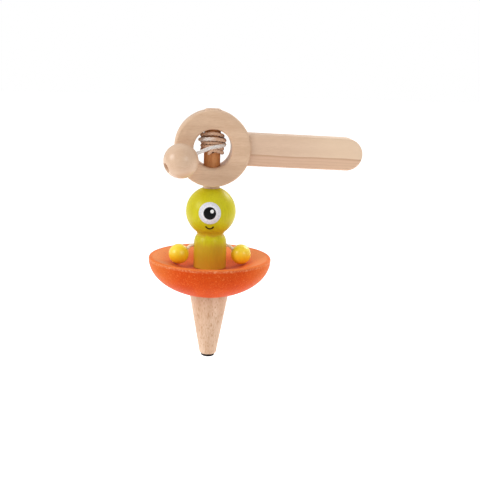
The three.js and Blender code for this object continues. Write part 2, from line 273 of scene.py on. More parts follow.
def bend(start, control, end, steps=8):
    """Points on a quadratic curve."""
    points = []
    for t in np.linspace(0, 1, steps + 1):
        weights = ((1 - t) ** 2, 2 * t * (1 - t), t**2)
        points.append(tuple(sum(w * p[i] for w, p in zip(weights, (start, control, end))) for i in (0, 1)))
    return points


def turned(name, profile, segments=96, place=Matrix(), loop=False):
    """A solid turned about place's Z from (radius, height) points. A loop's last point joins its first."""
    rings = []
    places = []
    for radius, height in profile:
        start = len(places)
        if radius < 1e-6:
            places.append(Vector((0, 0, height)))
            rings.append([start] * segments)
            continue
        for i in range(segments):
            angle = 2 * math.pi * i / segments
            places.append(Vector((radius * math.cos(angle), radius * math.sin(angle), height)))
        rings.append(list(range(start, start + segments)))
    faces = []
    for low, high in zip(rings, rings[1:] + rings[:1] if loop else rings[1:]):
        for i in range(segments):
            j = (i + 1) % segments
            corners = list(dict.fromkeys((low[i], low[j], high[j], high[i])))
            if len(corners) > 2:
                faces.append(corners)
    return add_mesh(name, [at(*(place @ p)) for p in places], faces)


def bore(obj, *cutters):
    """Cuts the cutters out of obj and removes them."""
    for cutter in cutters:
        cut = obj.modifiers.new("bore", "BOOLEAN")
        cut.operation = "DIFFERENCE"
        cut.solver = "EXACT"
        cut.object = cutter
    shapes = bpy.context.evaluated_depsgraph_get()
    mesh = bpy.data.meshes.new_from_object(obj.evaluated_get(shapes))
    obj.modifiers.clear()
    obj.data = mesh
    mesh.shade_smooth()
    mesh.set_sharp_from_angle(angle=math.radians(SHARP_DEGREES))
    for cutter in cutters:
        bpy.data.objects.remove(cutter)


def cutting_rod(radius, start, end, place=Matrix()):
    """A plain rod on place's Z, used to cut a bore."""
    return turned("cutter", [(0, start), (radius, start), (radius, end), (0, end)], 48, place)


def facing(centre, direction):
    """The placement whose origin is a point and whose Z runs along a direction."""
    return Matrix.Translation(centre) @ Vector(direction).to_track_quat("Z", "Y").to_matrix().to_4x4()


TO_X = Matrix.Rotation(math.pi / 2, 4, "Y")
TO_Y = Matrix.Rotation(-math.pi / 2, 4, "X")

# ---------------------------------------------------------------- cords


def smooth_curve(points, steps):
    """A smooth curve through evenly spaced points, with that many steps between neighbours."""
    points = np.array(points, float)
    ends = (2 * points[0] - points[1], 2 * points[-1] - points[-2])
    padded = np.vstack([ends[0], points, ends[1]])
    curve = []
    for before, start, end, after in zip(padded, padded[1:], padded[2:], padded[3:]):
        for t in np.arange(steps) / steps:
            linear = (end - before) * t
            square = (2 * before - 5 * start + 4 * end - after) * t**2
            cube = (3 * start - before - 3 * end + after) * t**3
            curve.append(start + 0.5 * (linear + square + cube))
    return np.array(curve + [points[-1]])


def evenly(line, step):
    """The same line with its points about a step apart."""
    along = np.concatenate([[0], np.cumsum(np.linalg.norm(np.diff(line, axis=0), axis=1))])
    wanted = np.linspace(0, along[-1], round(along[-1] / step) + 1)
    return np.stack([np.interp(wanted, along, line[:, k]) for k in range(3)], axis=1)


def eased(line, reach):
    """The line with its corners rounded off, each point moved to the mean of its neighbours."""
    result = line.copy()
    for i in range(1, len(line) - 1):
        near = min(reach, i, len(line) - 1 - i)
        result[i] = line[i - near : i + near + 1].mean(axis=0)
    return result


def length_of(line):
    return float(np.linalg.norm(np.diff(line, axis=0), axis=1).sum())


def upright_frames(line):
    """Two directions square to the line at each point, carried along it without twisting."""
    tangents = np.gradient(line, axis=0)
    tangents /= np.linalg.norm(tangents, axis=1)[:, None]
    side = np.cross(tangents[0], (0, 0, 1) if abs(tangents[0][2]) < 0.9 else (1, 0, 0))
    sides = []
    for tangent in tangents:
        side = side - tangent * side.dot(tangent)
        side = side / np.linalg.norm(side)
        sides.append(side)
    sides = np.array(sides)
    return sides, np.cross(tangents, sides)


STRANDS = 3
STRAND_OFFSET = 0.4  # of a strand's middle from the cord's, as a share of the cord's radius
SIDES_PER_STRAND = 6


def strand_outline(angle):
    """The cord's outline at an angle round it, as a share of its radius: lobes that meet in grooves."""
    half = math.pi / STRANDS
    off = (angle + half) % (2 * half) - half
    across = (1 - STRAND_OFFSET) ** 2 - (STRAND_OFFSET * math.sin(off)) ** 2
    return STRAND_OFFSET * math.cos(off) + math.sqrt(across)


def twisted_cord(name, line, radius, lay_length, blunt=1.5):
    """A laid cord of three strands along a line of points in millimetres, with rounded ends."""
    sides, ups = upright_frames(line)
    count = STRANDS * SIDES_PER_STRAND
    along = np.concatenate([[0], np.cumsum(np.linalg.norm(np.diff(line, axis=0), axis=1))])
    places = []
    marks = []
    for i, centre in enumerate(line):
        to_end = min(along[i], along[-1] - along[i]) / (blunt * radius)
        swell = 1 if to_end >= 1 else 0.35 + 0.65 * math.sqrt(max(0, 1 - (1 - to_end) ** 2))
        turn = 2 * math.pi * along[i] / lay_length
        for j in range(count):
            around = 2 * math.pi * j / count
            reach = radius * swell * strand_outline(around)
            angle = around + turn
            places.append(centre + reach * (math.cos(angle) * sides[i] + math.sin(angle) * ups[i]))
            marks.append((along[i], STRANDS * j / count, 0))
    faces = [list(range(count)), list(range(len(places) - count, len(places)))]
    for i in range(len(line) - 1):
        for j in range(count):
            k = (j + 1) % count
            faces.append((i * count + j, i * count + k, (i + 1) * count + k, (i + 1) * count + j))
    obj = add_mesh(name, [at(*place) for place in places], faces, 80)
    strand = obj.data.attributes.new("strand", "FLOAT_VECTOR", "POINT")
    strand.data.foreach_set("vector", np.array(marks, np.float32).ravel())
    return obj


# The middle of the wound cord at each quarter turn from the hole in the stem: behind, right, front, left.
WINDING_HEIGHTS = (
    103.9, 102.6, 104.4, 104.2,
    104.3, 104.5, 105.9, 106.0,
    106.1, 106.4, 107.8, 107.8,
    108.0, 108.4, 109.7, 109.5,
    110.0, 110.6, 112.2, 111.1,
    110.8, 108.6, 109.7, 108.8,
    108.0, 106.7, 106.0,
)  # fmt: skip
FIRST_LAYER = 4.95
WINDING_RADII = (FIRST_LAYER,) * 17 + (5.0, 5.1, 5.2, 5.9, 5.9, 6.3, 6.0, 6.2, 5.9, 6.3)
WINDING_TURNS = 6.41
TAIL_BEND = Vector((-1.3, -8.1, 105.7))  # where the cord has come clear of the windings
CORD_STEP = 0.35
LAY_LENGTH = 5.6


def winding_line():
    """The cord from the hole at the back of the stem, wound clockwise seen from above."""
    quarters = [(i / 4, r, z) for i, (r, z) in enumerate(zip(WINDING_RADII, WINDING_HEIGHTS))]
    steps = 32
    line = []
    for turns, radius, height in smooth_curve(quarters, steps):
        if turns > WINDING_TURNS:
            break
        angle = math.pi / 2 - 2 * math.pi * turns
        line.append((radius * math.cos(angle), radius * math.sin(angle), height))
    return np.array(line)


def along_pull(distance):
    """A point on the ball's bore, that far from the ball's middle the way the ball is pulled."""
    return BALL_CENTRE + PULL_DIRECTION * distance


def pull_cord_line():
    """From the stem's hole round the windings, across to the ball, and through it to the knot."""
    knot_face = BALL_RADIUS - KNOT_DEPTH - 1.6
    tail = [TAIL_BEND, along_pull(-BALL_RADIUS - 0.5), along_pull(0), along_pull(knot_face)]
    line = np.vstack([winding_line(), [tuple(point) for point in tail]])
    return eased(evenly(line, CORD_STEP), 4)


def build_pull_cord(cord_material):
    line = pull_cord_line()
    cord = twisted_cord("pull_cord_laid", line, CORD_RADIUS, LAY_LENGTH)
    cord.data.materials.append(cord_material)
    knot = build_knot(cord_material)
    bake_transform(cord)
    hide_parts("wound_cord", "pull_cord")
    build_inner_end(cord_material)


def build_knot(cord_material):
    """An overhand stopper knot, pulled tight in the ball's pocket."""
    turns = np.linspace(0, 2 * math.pi, 91)[:-1]
    place = facing(along_pull(BALL_RADIUS - KNOT_DEPTH), PULL_DIRECTION)
    line = []
    for t in turns:
        local = Vector((
            KNOT_SCALE * (math.sin(t) + 2 * math.sin(2 * t)),
            KNOT_SCALE * (math.cos(t) - 2 * math.cos(2 * t)),
            -KNOT_SCALE * 1.6 * math.sin(3 * t),
        ))
        line.append(tuple(place @ local))
    line = evenly(np.array(line), CORD_STEP)
    knot = twisted_cord("stopper_knot", line, KNOT_CORD_RADIUS, KNOT_LAY_LENGTH)
    knot.data.materials.append(cord_material)
    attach(knot, "pull")
    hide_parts("pull_knot")
    return knot


def build_inner_end(cord_material):
    """The cord's inner end, led through the hole in the stem and left hanging short in front."""
    points = [
        (-2.2, -4.9, CORD_HOLE_HEIGHT - 1.7),
        (-1.4, -5.2, CORD_HOLE_HEIGHT - 0.7),
        (-0.4, -4.5, CORD_HOLE_HEIGHT),
        (0, -2, CORD_HOLE_HEIGHT),
        (0, 0, CORD_HOLE_HEIGHT),
        (0, 2, CORD_HOLE_HEIGHT),
        (-0.1, 4.2, CORD_HOLE_HEIGHT),
        (0.9, 4.8, CORD_HOLE_HEIGHT),
    ]
    line = eased(evenly(smooth_curve(points, 12), CORD_STEP), 2)
    end = twisted_cord("cord_inner_end", line, INNER_END_RADIUS, LAY_LENGTH)
    end.data.materials.append(cord_material)
    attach(end, "winding")


# ---------------------------------------------------------------- material helpers


def linear(red, green, blue):
    """A colour given as 0 to 255 on a screen, as Blender's linear colour."""
    def channel(value):
        share = value / 255
        return share / 12.92 if share <= 0.04045 else ((share + 0.055) / 1.055) ** 2.4

    return (channel(red), channel(green), channel(blue), 1)


class Surface:
    """A material being built from nodes, with a principled shader at its end."""

    def __init__(self, name):
        self.material = bpy.data.materials.new(name)
        self.material.use_nodes = True
        self.tree = self.material.node_tree
        self.shader = self.tree.nodes["Principled BSDF"]

    def set(self, **values):
        """Fills the shader's inputs with numbers, colours or other nodes' outputs."""
        for key, value in values.items():
            self.fill(self.shader.inputs[key.replace("_", " ")], value)
        return self

    def fill(self, socket, value):
        if isinstance(value, bpy.types.NodeSocket):
            self.tree.links.new(value, socket)
        else:
            socket.default_value = value

    def node(self, kind, options=(), **values):
        """Adds a node with its options set and its named inputs filled, and returns it."""
        made = self.tree.nodes.new("ShaderNode" + kind)
        for key, value in dict(options).items():
            setattr(made, key, value)
        for key, value in values.items():
            self.fill(made.inputs[key.replace("_", " ")], value)
        return made

    def place(self, x=1, y=1, z=1):
        """The point's place in millimetres, stretched by a factor on each axis."""
        source = self.node("TexCoord").outputs["Object"]
        return self.node("Mapping", Vector=source, Scale=(x / MM, y / MM, z / MM)).outputs[0]

    def noise(self, vector, scale, detail=3, roughness=0.55, distortion=0):
        """Smooth noise from 0 to 1, with that many features a millimetre."""
        return self.node(
            "TexNoise",
            Vector=vector,
            Scale=scale,
            Detail=detail,
            Roughness=roughness,
            Distortion=distortion,
        ).outputs[0]

    def bands(self, vector, scale, distortion, detail=2, axis="Z"):
        """Wavy bands across an axis, from 0 to 1."""
        options = {"wave_type": "BANDS", "bands_direction": axis}
        return self.node(
            "TexWave", options, Vector=vector, Scale=scale, Distortion=distortion, Detail=detail
        ).outputs[1]

    def math(self, operation, first, second=0.0):
        made = self.node("Math", {"operation": operation})
        self.fill(made.inputs[0], first)
        self.fill(made.inputs[1], second)
        return made.outputs[0]

    def spread(self, value, low, high, new_low=0.0, new_high=1.0):
        """Maps low..high onto new_low..new_high, held at both ends."""
        return self.node(
            "MapRange",
            {"interpolation_type": "SMOOTHSTEP"},
            Value=value,
            From_Min=low,
            From_Max=high,
            To_Min=new_low,
            To_Max=new_high,
        ).outputs[0]

    def mix(self, share, first, second, blend="MIX"):
        """first turned into second by a share."""
        made = self.node("Mix", {"data_type": "RGBA", "blend_type": blend})
        for index, value in ((0, share), (6, first), (7, second)):
            self.fill(made.inputs[index], value)
        return made.outputs[2]

    def bump(self, height, distance, strength=1.0):
        """Relief of that many millimetres."""
        return self.node("Bump", Height=height, Distance=distance * MM, Strength=strength).outputs[0]

    def height(self):
        """The point's height above the tip, in millimetres."""
        source = self.node("TexCoord").outputs["Object"]
        raised = self.node("SeparateXYZ", Vector=source).outputs["Z"]
        return self.math("MULTIPLY", self.math("SUBTRACT", raised, ORIGIN.z), 1 / MM)

    def from_axis(self):
        """The point's distance from the spin axis, in millimetres."""
        source = self.node("TexCoord").outputs["Object"]
        parts = self.node("SeparateXYZ", Vector=source)
        across = self.math("SUBTRACT", parts.outputs["X"], ORIGIN.x)
        deep = self.math("SUBTRACT", parts.outputs["Y"], ORIGIN.y)
        squared = self.math("ADD", self.math("POWER", across, 2.0), self.math("POWER", deep, 2.0))
        return self.math("MULTIPLY", self.math("SQRT", squared), 1 / MM)


def grain_stretch(along, share):
    """The stretch that draws noise out along the grain's axis."""
    return {axis: share if axis == along else 1 for axis in "xyz"}


def wood(name, pale, dark, along, across, fleck=0.35, gloss=0.05, figure=0.1, pores=3.2, tint=None):
    """Sanded wood with fine streaks, faint year rings and short dark pores, that many to a millimetre."""
    surface = Surface(name)
    fine = surface.noise(surface.place(**grain_stretch(along, 0.09)), 2.6, 5, 0.6)
    broad = surface.noise(surface.place(**grain_stretch(along, 0.2)), 0.16, 3)
    rings = surface.bands(surface.place(**grain_stretch(along, 0.12)), 0.055, 4.5, 2, across)
    flecks = surface.noise(surface.place(**grain_stretch(along, 0.2)), pores, 2, 0.5)
    fleck_mask = surface.spread(flecks, 0.54, 0.68)
    shade = surface.math("ADD", surface.math("MULTIPLY", fine, 0.55), surface.math("MULTIPLY", broad, 0.45))
    ringed = surface.math("MULTIPLY", surface.math("SUBTRACT", rings, 0.5), figure)
    shade = surface.math("ADD", shade, ringed)
    colour = surface.mix(surface.spread(shade, 0.1, 0.9), linear(*dark), linear(*pale))
    colour = surface.mix(surface.math("MULTIPLY", fleck_mask, fleck), colour, linear(*dark))
    if tint is not None:
        colour = tint(surface, colour)
    pits = surface.math("MULTIPLY", fleck_mask, 0.5)
    relief = surface.math("SUBTRACT", surface.math("MULTIPLY", fine, 0.6), pits)
    surface.set(
        Base_Color=colour,
        Roughness=surface.spread(fine, 0.3, 0.7, 0.38, 0.58),
        Normal=surface.bump(relief, 0.05),
        Specular_IOR_Level=0.3,
        Coat_Weight=gloss,
        Coat_Roughness=0.24,
    )
    return surface.material


def window_shade(surface, colour):
    """The stem is browner where it runs in the ring's window: painted shade, warmed as by light bounced off
    the wood.
    """
    height = surface.height()
    inside = surface.math(
        "MULTIPLY",
        surface.spread(height, RING_CENTRE.z - 12, RING_CENTRE.z - 9),
        surface.spread(height, RING_CENTRE.z + 12, RING_CENTRE.z + 9),
    )
    # painted shade inside the ring's window
    return surface.mix(inside, colour, linear(234, 188, 138), "MULTIPLY")


def handle_figure_and_light(surface, colour):
    """One darker year ring along the handle, and redder wood with finer lines below it; and painted light
    that makes the handle paler towards its far end, away from the ring's shade.
    """
    source = surface.node("TexCoord").outputs["Object"]
    parts = surface.node("SeparateXYZ", Vector=source)
    along = surface.math("MULTIPLY", surface.math("SUBTRACT", parts.outputs["X"], ORIGIN.x), 1 / MM)
    start = surface.math("SUBTRACT", surface.height(), RING_CENTRE.z + HANDLE_RISE)
    level = surface.math("ADD", start, surface.math("MULTIPLY", along, math.tan(HANDLE_DROOP)))
    wander = surface.noise(surface.place(x=0.15), 0.25, 2)
    level = surface.math("ADD", level, surface.math("MULTIPLY", surface.math("SUBTRACT", wander, 0.5), 1.6))
    below = surface.spread(level, YEAR_LINE + 0.15, YEAR_LINE - 0.15)
    line = surface.math("MULTIPLY", below, surface.spread(level, YEAR_LINE - 0.9, YEAR_LINE - 0.2))
    finer = surface.spread(surface.math("SINE", surface.math("MULTIPLY", level, 4.4)), 0.2, 1.0)
    # painted light: the handle paler towards its far end, away from the ring
    colour = surface.mix(surface.spread(along, 30, 65, 0, 0.5), colour, linear(246, 218, 186))
    colour = surface.mix(surface.math("MULTIPLY", below, 0.5), colour, linear(214, 168, 138))
    colour = surface.mix(surface.math("MULTIPLY", line, 0.45), colour, linear(176, 130, 96))
    share = surface.math("MULTIPLY", surface.math("MULTIPLY", finer, below), 0.16)
    return surface.mix(share, colour, linear(176, 130, 100))


def stained_wood(name, light, deep, along="z", gloss=0.35, specular=0.15, tint=None):
    """Wood under a thin coloured stain, through which the grain still shows."""
    surface = Surface(name)
    fine = surface.noise(surface.place(**grain_stretch(along, 0.08)), 1.5, 4, 0.6)
    broad = surface.noise(surface.place(), 0.12, 3)
    shade = surface.math("ADD", surface.math("MULTIPLY", fine, 0.5), surface.math("MULTIPLY", broad, 0.5))
    colour = surface.mix(surface.spread(shade, 0.3, 0.7), linear(*deep), linear(*light))
    if tint is not None:
        colour = tint(surface, colour)
    surface.set(
        Base_Color=colour,
        Roughness=surface.spread(shade, 0.3, 0.7, 0.36, 0.5),
        Normal=surface.bump(fine, 0.025),
        Specular_IOR_Level=specular,
        Coat_Weight=gloss,
        Coat_Roughness=0.22,
    )
    return surface.material


def saucer_figure_and_light(surface, colour):
    """Painted light that makes the dish and the sides paler and the lip's top bright, pale and dark specks,
    and a worn rim.
    """
    source = surface.node("TexCoord").outputs["Object"]
    across = surface.math("SUBTRACT", surface.node("SeparateXYZ", Vector=source).outputs["X"], ORIGIN.x)
    across = surface.math("DIVIDE", across, SAUCER_RADIUS * MM)
    sideways = surface.math("ABSOLUTE", across)
    # painted light: the saucer's left and right sides paler, the right side more, as lit by the side lamps
    # and their sheen
    side_light = surface.mix(surface.spread(across, -0.4, 0.4), linear(220, 124, 54), linear(238, 130, 58))
    colour = surface.mix(surface.spread(sideways, 0.45, 1.0, 0, 0.65), colour, side_light)
    # painted reflection: the dish paler towards its rim, as the upward-facing dish reflects the bright
    # studio
    outward = surface.math("SUBTRACT", surface.from_axis(), DISH_FLOOR_RADIUS)
    dish = surface.math("ADD", surface.math("MULTIPLY", outward, DISH_SLOPE), DISH_FLOOR)
    inside = surface.spread(surface.math("SUBTRACT", surface.height(), dish), -1.4, -0.4)
    fading = surface.spread(surface.from_axis(), DISH_FLOOR_RADIUS, SAUCER_RADIUS - LIP_EDGE, 0.2, 0.75)
    colour = surface.mix(surface.math("MULTIPLY", inside, fading), colour, linear(244, 156, 96))
    # painted highlight round the top of the lip
    colour = surface.mix(surface.math("MULTIPLY", lip_highlight(surface), 0.7), colour, linear(236, 112, 40))
    specks = surface.noise(surface.place(), 1.5, 3, 0.7)
    colour = surface.mix(surface.spread(specks, 0.56, 0.72, 0, 0.65), colour, linear(248, 150, 84))
    colour = surface.mix(surface.spread(specks, 0.44, 0.3, 0, 0.5), colour, linear(178, 54, 22))
    dents = surface.noise(surface.place(), 0.9, 4, 0.7)
    worn = surface.spread(dents, 0.46, 0.66, 0.1, 0.6)
    share = surface.math("MULTIPLY", rim_wear(surface), worn)
    return surface.mix(share, colour, linear(250, 178, 128))


def body_shade_and_bounce(surface, colour):
    """The green wood is painted browner under the chin and below the shoulder: painted shade, and painted
    reflection of the orange saucer.
    """
    height = surface.height()
    streaks = surface.noise(surface.place(z=0.12), 0.7, 3)
    wander = surface.math("MULTIPLY", surface.math("SUBTRACT", streaks, 0.5), 4.0)
    level = surface.math("ADD", height, wander)
    upper = surface.spread(level, SHOULDER_HEIGHT + 3.2, SHOULDER_HEIGHT - 1.2, 0, 0.55)
    lower = surface.spread(level, SHOULDER_HEIGHT - 1, SHOULDER_HEIGHT - 10, 0, 0.3)
    below = surface.math("ADD", upper, lower)
    chin = surface.math(
        "MULTIPLY",
        surface.spread(level, HEAD_HEIGHT - 5, HEAD_HEIGHT - 11),
        surface.spread(level, NECK_HEIGHT - 0.6, NECK_HEIGHT + 0.6),
    )
    share = surface.math("MAXIMUM", below, surface.math("MULTIPLY", chin, 0.55))
    # painted shade and painted orange reflection, under the chin and below the shoulder
    return surface.mix(share, colour, linear(200, 148, 46))


def rim_wear(surface):
    """Strong on the saucer's outer edge, below its lip, fading within a millimetre."""
    outward = surface.spread(surface.from_axis(), SAUCER_RADIUS - 1.0, SAUCER_RADIUS - 0.3)
    upward = surface.spread(surface.height(), SAUCER_RIM - 1.9, SAUCER_RIM - 1.2)
    below_lip = surface.spread(surface.height(), SAUCER_RIM - 0.3, SAUCER_RIM - 0.7)
    return surface.math("MULTIPLY", surface.math("MULTIPLY", outward, upward), below_lip)


def lip_highlight(surface):
    """A thin line round the top of the saucer's lip, brighter there as a painted highlight from the light
    above.
    """
    lip_top = SAUCER_RADIUS - LIP_EDGE
    outward = surface.spread(surface.from_axis(), lip_top - LIP_EDGE, lip_top)
    upward = surface.spread(surface.height(), SAUCER_RIM - 0.8, SAUCER_RIM - 0.5)
    return surface.math("MULTIPLY", outward, upward)


def cotton(name, pale, shade_colour, shaded_winding=None):
    """Soft laid cotton with fibres along each strand. The optional fourth argument is two browner colours
    of painted shade, and where they end.
    """
    surface = Surface(name)
    options = {"attribute_name": "strand", "attribute_type": "GEOMETRY"}
    mark = surface.node("Attribute", options).outputs["Vector"]
    fibres = surface.node("Mapping", Vector=mark, Scale=(0.9, 9, 1)).outputs[0]
    threads = surface.noise(fibres, 1.0, 4, 0.65)
    fluff = surface.noise(surface.place(), 2.4, 4, 0.7)
    tone = surface.math("ADD", surface.math("MULTIPLY", threads, 0.6), surface.math("MULTIPLY", fluff, 0.4))
    colour = surface.mix(surface.spread(tone, 0.3, 0.65), linear(*shade_colour), linear(*pale))
    if shaded_winding is not None:
        # painted shade: the cord browner where it lies wound in the ring's window, with warm bounce from
        # the wood
        shaded_pale, shaded_dark, end = shaded_winding
        along = surface.node("SeparateXYZ", Vector=mark).outputs["X"]
        wound_shade = surface.mix(surface.spread(tone, 0.3, 0.65), linear(*shaded_dark), linear(*shaded_pale))
        colour = surface.mix(surface.spread(along, end - 6, end), wound_shade, colour)
    surface.set(
        Base_Color=colour,
        Roughness=0.92,
        Normal=surface.bump(tone, 0.12),
        Sheen_Weight=0.35,
        Sheen_Roughness=0.5,
    )
    return surface.material


def ink(name, colour, gloss=0.05, mottle=0.06):
    """Printed ink with a faint unevenness."""
    surface = Surface(name)
    grain = surface.noise(surface.place(), 2.2, 3)
    deeper = tuple(channel * (1 - 2 * mottle) for channel in colour)
    surface.set(
        Base_Color=surface.mix(surface.spread(grain, 0.3, 0.7), linear(*deeper), linear(*colour)),
        Roughness=surface.spread(grain, 0.3, 0.7, 0.32, 0.45),
        Normal=surface.bump(grain, 0.01),
        Specular_IOR_Level=0.15,
        Coat_Weight=gloss,
        Coat_Roughness=0.2,
    )
    return surface.material


def dark_steel(name):
    """A blackened nail head, rubbed brown and bright in places where it runs on the ground."""
    surface = Surface(name)
    patches = surface.noise(surface.place(), 0.9, 4, 0.65)
    scratches = surface.noise(surface.place(z=0.2), 3.2, 3, 0.7)
    rubbed = surface.spread(surface.height(), 0.9, 0.1)
    share = surface.math("MULTIPLY", surface.spread(patches, 0.42, 0.62), rubbed)
    colour = surface.mix(share, linear(38, 30, 30), linear(120, 82, 62))
    surface.set(
        Base_Color=colour,
        Metallic=0.75,
        Roughness=surface.spread(scratches, 0.3, 0.7, 0.32, 0.55),
        Normal=surface.bump(scratches, 0.02),
    )
    return surface.material


def pale_floor(name):
    """Matt white, and lit from below where it lies under and behind the object, as a studio table is."""
    surface = Surface(name)
    grain = surface.noise(surface.place(), 0.02, 2)
    source = surface.node("TexCoord").outputs["Object"]
    depth = surface.math("SUBTRACT", surface.node("SeparateXYZ", Vector=source).outputs["Y"], ORIGIN.y)
    surface.set(
        Base_Color=surface.mix(grain, linear(246, 246, 246), linear(252, 252, 252)),
        Roughness=0.9,
        Emission_Color=(1, 1, 1, 1),
        Emission_Strength=surface.spread(depth, -150 * MM, -15 * MM, 0.0, 0.55),
    )
    return surface.material


# ---------------------------------------------------------------- launcher


def finish_piece(obj, material, body, node):
    obj.data.materials.clear()
    obj.data.materials.append(material)
    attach(obj, body)
    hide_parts(node)


def handle_placement():
    """X runs along the handle from the spin axis, level with its centre line."""
    start = Vector((0, 0, RING_CENTRE.z + HANDLE_RISE))
    return Matrix.Translation(start) @ Matrix.Rotation(HANDLE_DROOP, 4, "Y")


def dowel_bore(start, end):
    return cutting_rod(DOWEL_RADIUS + GAP, start, end, handle_placement() @ TO_X)


def build_ring(material):
    half = RING_HALF_THICKNESS - RING_EDGE
    outer = RING_RADIUS - RING_EDGE
    inner = WINDOW_RADIUS + RING_EDGE
    profile = (
        arc(outer, -half, RING_EDGE, -90, 0)
        + arc(outer, half, RING_EDGE, 0, 90)
        + arc(inner, half, RING_EDGE, 90, 180)
        + arc(inner, -half, RING_EDGE, 180, 270)
    )
    ring = turned("ring", profile, 128, Matrix.Translation(RING_CENTRE) @ TO_Y, loop=True)
    stem_bore = cutting_rod(STEM_RADIUS + STEM_CLEARANCE, STEM_BASE, STEM_TOP + RING_RADIUS)
    bore(ring, stem_bore, dowel_bore(DOWEL_START - GAP, DOWEL_END))
    finish_piece(ring, material, "launcher", "launcher_ring")


def handle_outline(inset):
    """The handle's outline in its own X and Z, drawn in by an amount."""
    half = HANDLE_HALF_WIDTH - inset
    end = HANDLE_REACH - HANDLE_HALF_WIDTH
    steps = 28
    points = [(WINDOW_RADIUS, -half), (end * 0.5, -half)]
    for i in range(steps + 1):
        angle = math.pi * (i / steps - 0.5)
        points.append((end + half * math.cos(angle), half * math.sin(angle)))
    return points + [(end * 0.5, half), (WINDOW_RADIUS, half)]


def build_handle(material):
    """A flat bar with a round end and rounded edges, its inner end hollowed to fit the ring."""
    place = handle_placement()
    edge_steps = 6
    layers = []
    for side in (-1, 1):
        for i in range(edge_steps + 1):
            angle = math.pi / 2 * (i / edge_steps if side > 0 else 1 - i / edge_steps)
            depth = side * (HANDLE_HALF_THICKNESS - HANDLE_EDGE * (1 - math.sin(angle)))
            layers.append((HANDLE_EDGE * (1 - math.cos(angle)), depth))
    layers.sort(key=lambda layer: layer[1])
    places = []
    for inset, depth in layers:
        places += [at(*(place @ Vector((x, depth, z)))) for x, z in handle_outline(inset)]
    count = len(handle_outline(0))
    faces = [list(range(count)), list(range(len(places) - count, len(places)))]
    for i in range(len(layers) - 1):
        for j in range(count):
            k = (j + 1) % count
            faces.append((i * count + j, i * count + k, (i + 1) * count + k, (i + 1) * count + j))
    handle = add_mesh("handle", places, faces)
    seat_place = Matrix.Translation(RING_CENTRE) @ TO_Y
    seat = turned(
        "seat",
        [(0, -12), (RING_RADIUS + GLUE_LINE, -12), (RING_RADIUS + GLUE_LINE, 12), (0, 12)],
        192,
        seat_place,
    )
    bore(handle, seat, dowel_bore(0, DOWEL_END + GAP))
    finish_piece(handle, material, "launcher", "launcher_handle")


def build_ball(material):
    """The pull ball, bored for the cord and countersunk for the knot."""
    bore_radius = CORD_RADIUS + GAP
    floor = BALL_RADIUS - KNOT_POCKET_DEPTH
    mouth = math.sqrt(BALL_RADIUS**2 - KNOT_POCKET_MOUTH**2)
    start = math.degrees(math.acos(bore_radius / BALL_RADIUS))
    end = math.degrees(math.asin(mouth / BALL_RADIUS))
    profile = (
        arc(0, 0, BALL_RADIUS, -start, end, 40)
        + [(KNOT_POCKET_MOUTH - 0.25, mouth - 0.35), (KNOT_POCKET_RADIUS, mouth - 1)]
        + [(KNOT_POCKET_RADIUS, floor), (bore_radius, floor)]
    )
    ball = turned("ball", profile, 72, facing(BALL_CENTRE, PULL_DIRECTION), loop=True)
    finish_piece(ball, material, "pull", "pull_ball")


# ---------------------------------------------------------------- top


def build_stem(material):
    edge = 0.9
    profile = (
        [(0, STEM_BASE), (STEM_RADIUS, STEM_BASE)]
        + arc(STEM_RADIUS - edge, STEM_TOP - edge, edge, 0, 90)
        + [(0, STEM_TOP)]
    )
    stem = turned("stem_rod", profile, 64)
    hole_place = Matrix.Translation((0, 0, CORD_HOLE_HEIGHT)) @ TO_Y
    bore(stem, cutting_rod(CORD_HOLE_RADIUS, -BODY_RADIUS, BODY_RADIUS, hole_place))
    finish_piece(stem, material, "top", "stem")


def figure_profile():
    base = DISH_FLOOR + GAP
    chin = math.degrees(math.acos(CHIN_RADIUS / HEAD_RADIUS))
    chin_height = HEAD_HEIGHT - HEAD_RADIUS * math.sin(math.radians(chin))
    crown = math.degrees(math.acos((STEM_RADIUS + GAP) / HEAD_RADIUS))
    core = CORE_RADIUS + GAP
    neck_pull = (NECK_RADIUS - 0.3, NECK_HEIGHT + 0.6)
    return (
        [(0, CORE_TOP + GAP), (core, CORE_TOP + GAP), (core, base), (BODY_RADIUS, base)]
        + [(BODY_RADIUS, base + 5)]
        + bend((BODY_RADIUS, SHOULDER_HEIGHT), SHOULDER_PULL, (NECK_RADIUS, NECK_HEIGHT), 12)
        + bend((NECK_RADIUS, NECK_HEIGHT), neck_pull, (CHIN_RADIUS, chin_height), 5)[1:]
        + arc(0, HEAD_HEIGHT, HEAD_RADIUS, -chin, crown, 44)[1:]
        + [(STEM_RADIUS + GAP, STEM_BASE - GAP), (0, STEM_BASE - GAP)]
    )


def build_figure(material):
    figure = turned("figure", figure_profile(), 96)
    arm_bore = cutting_rod(
        ARM_CORD_RADIUS + GAP,
        -SAUCER_RADIUS,
        SAUCER_RADIUS,
        Matrix.Translation((0, 0, SHOULDER_BORE_HEIGHT)) @ TO_X,
    )
    bore(figure, arm_bore)
    finish_piece(figure, material, "top", "figure_peg")


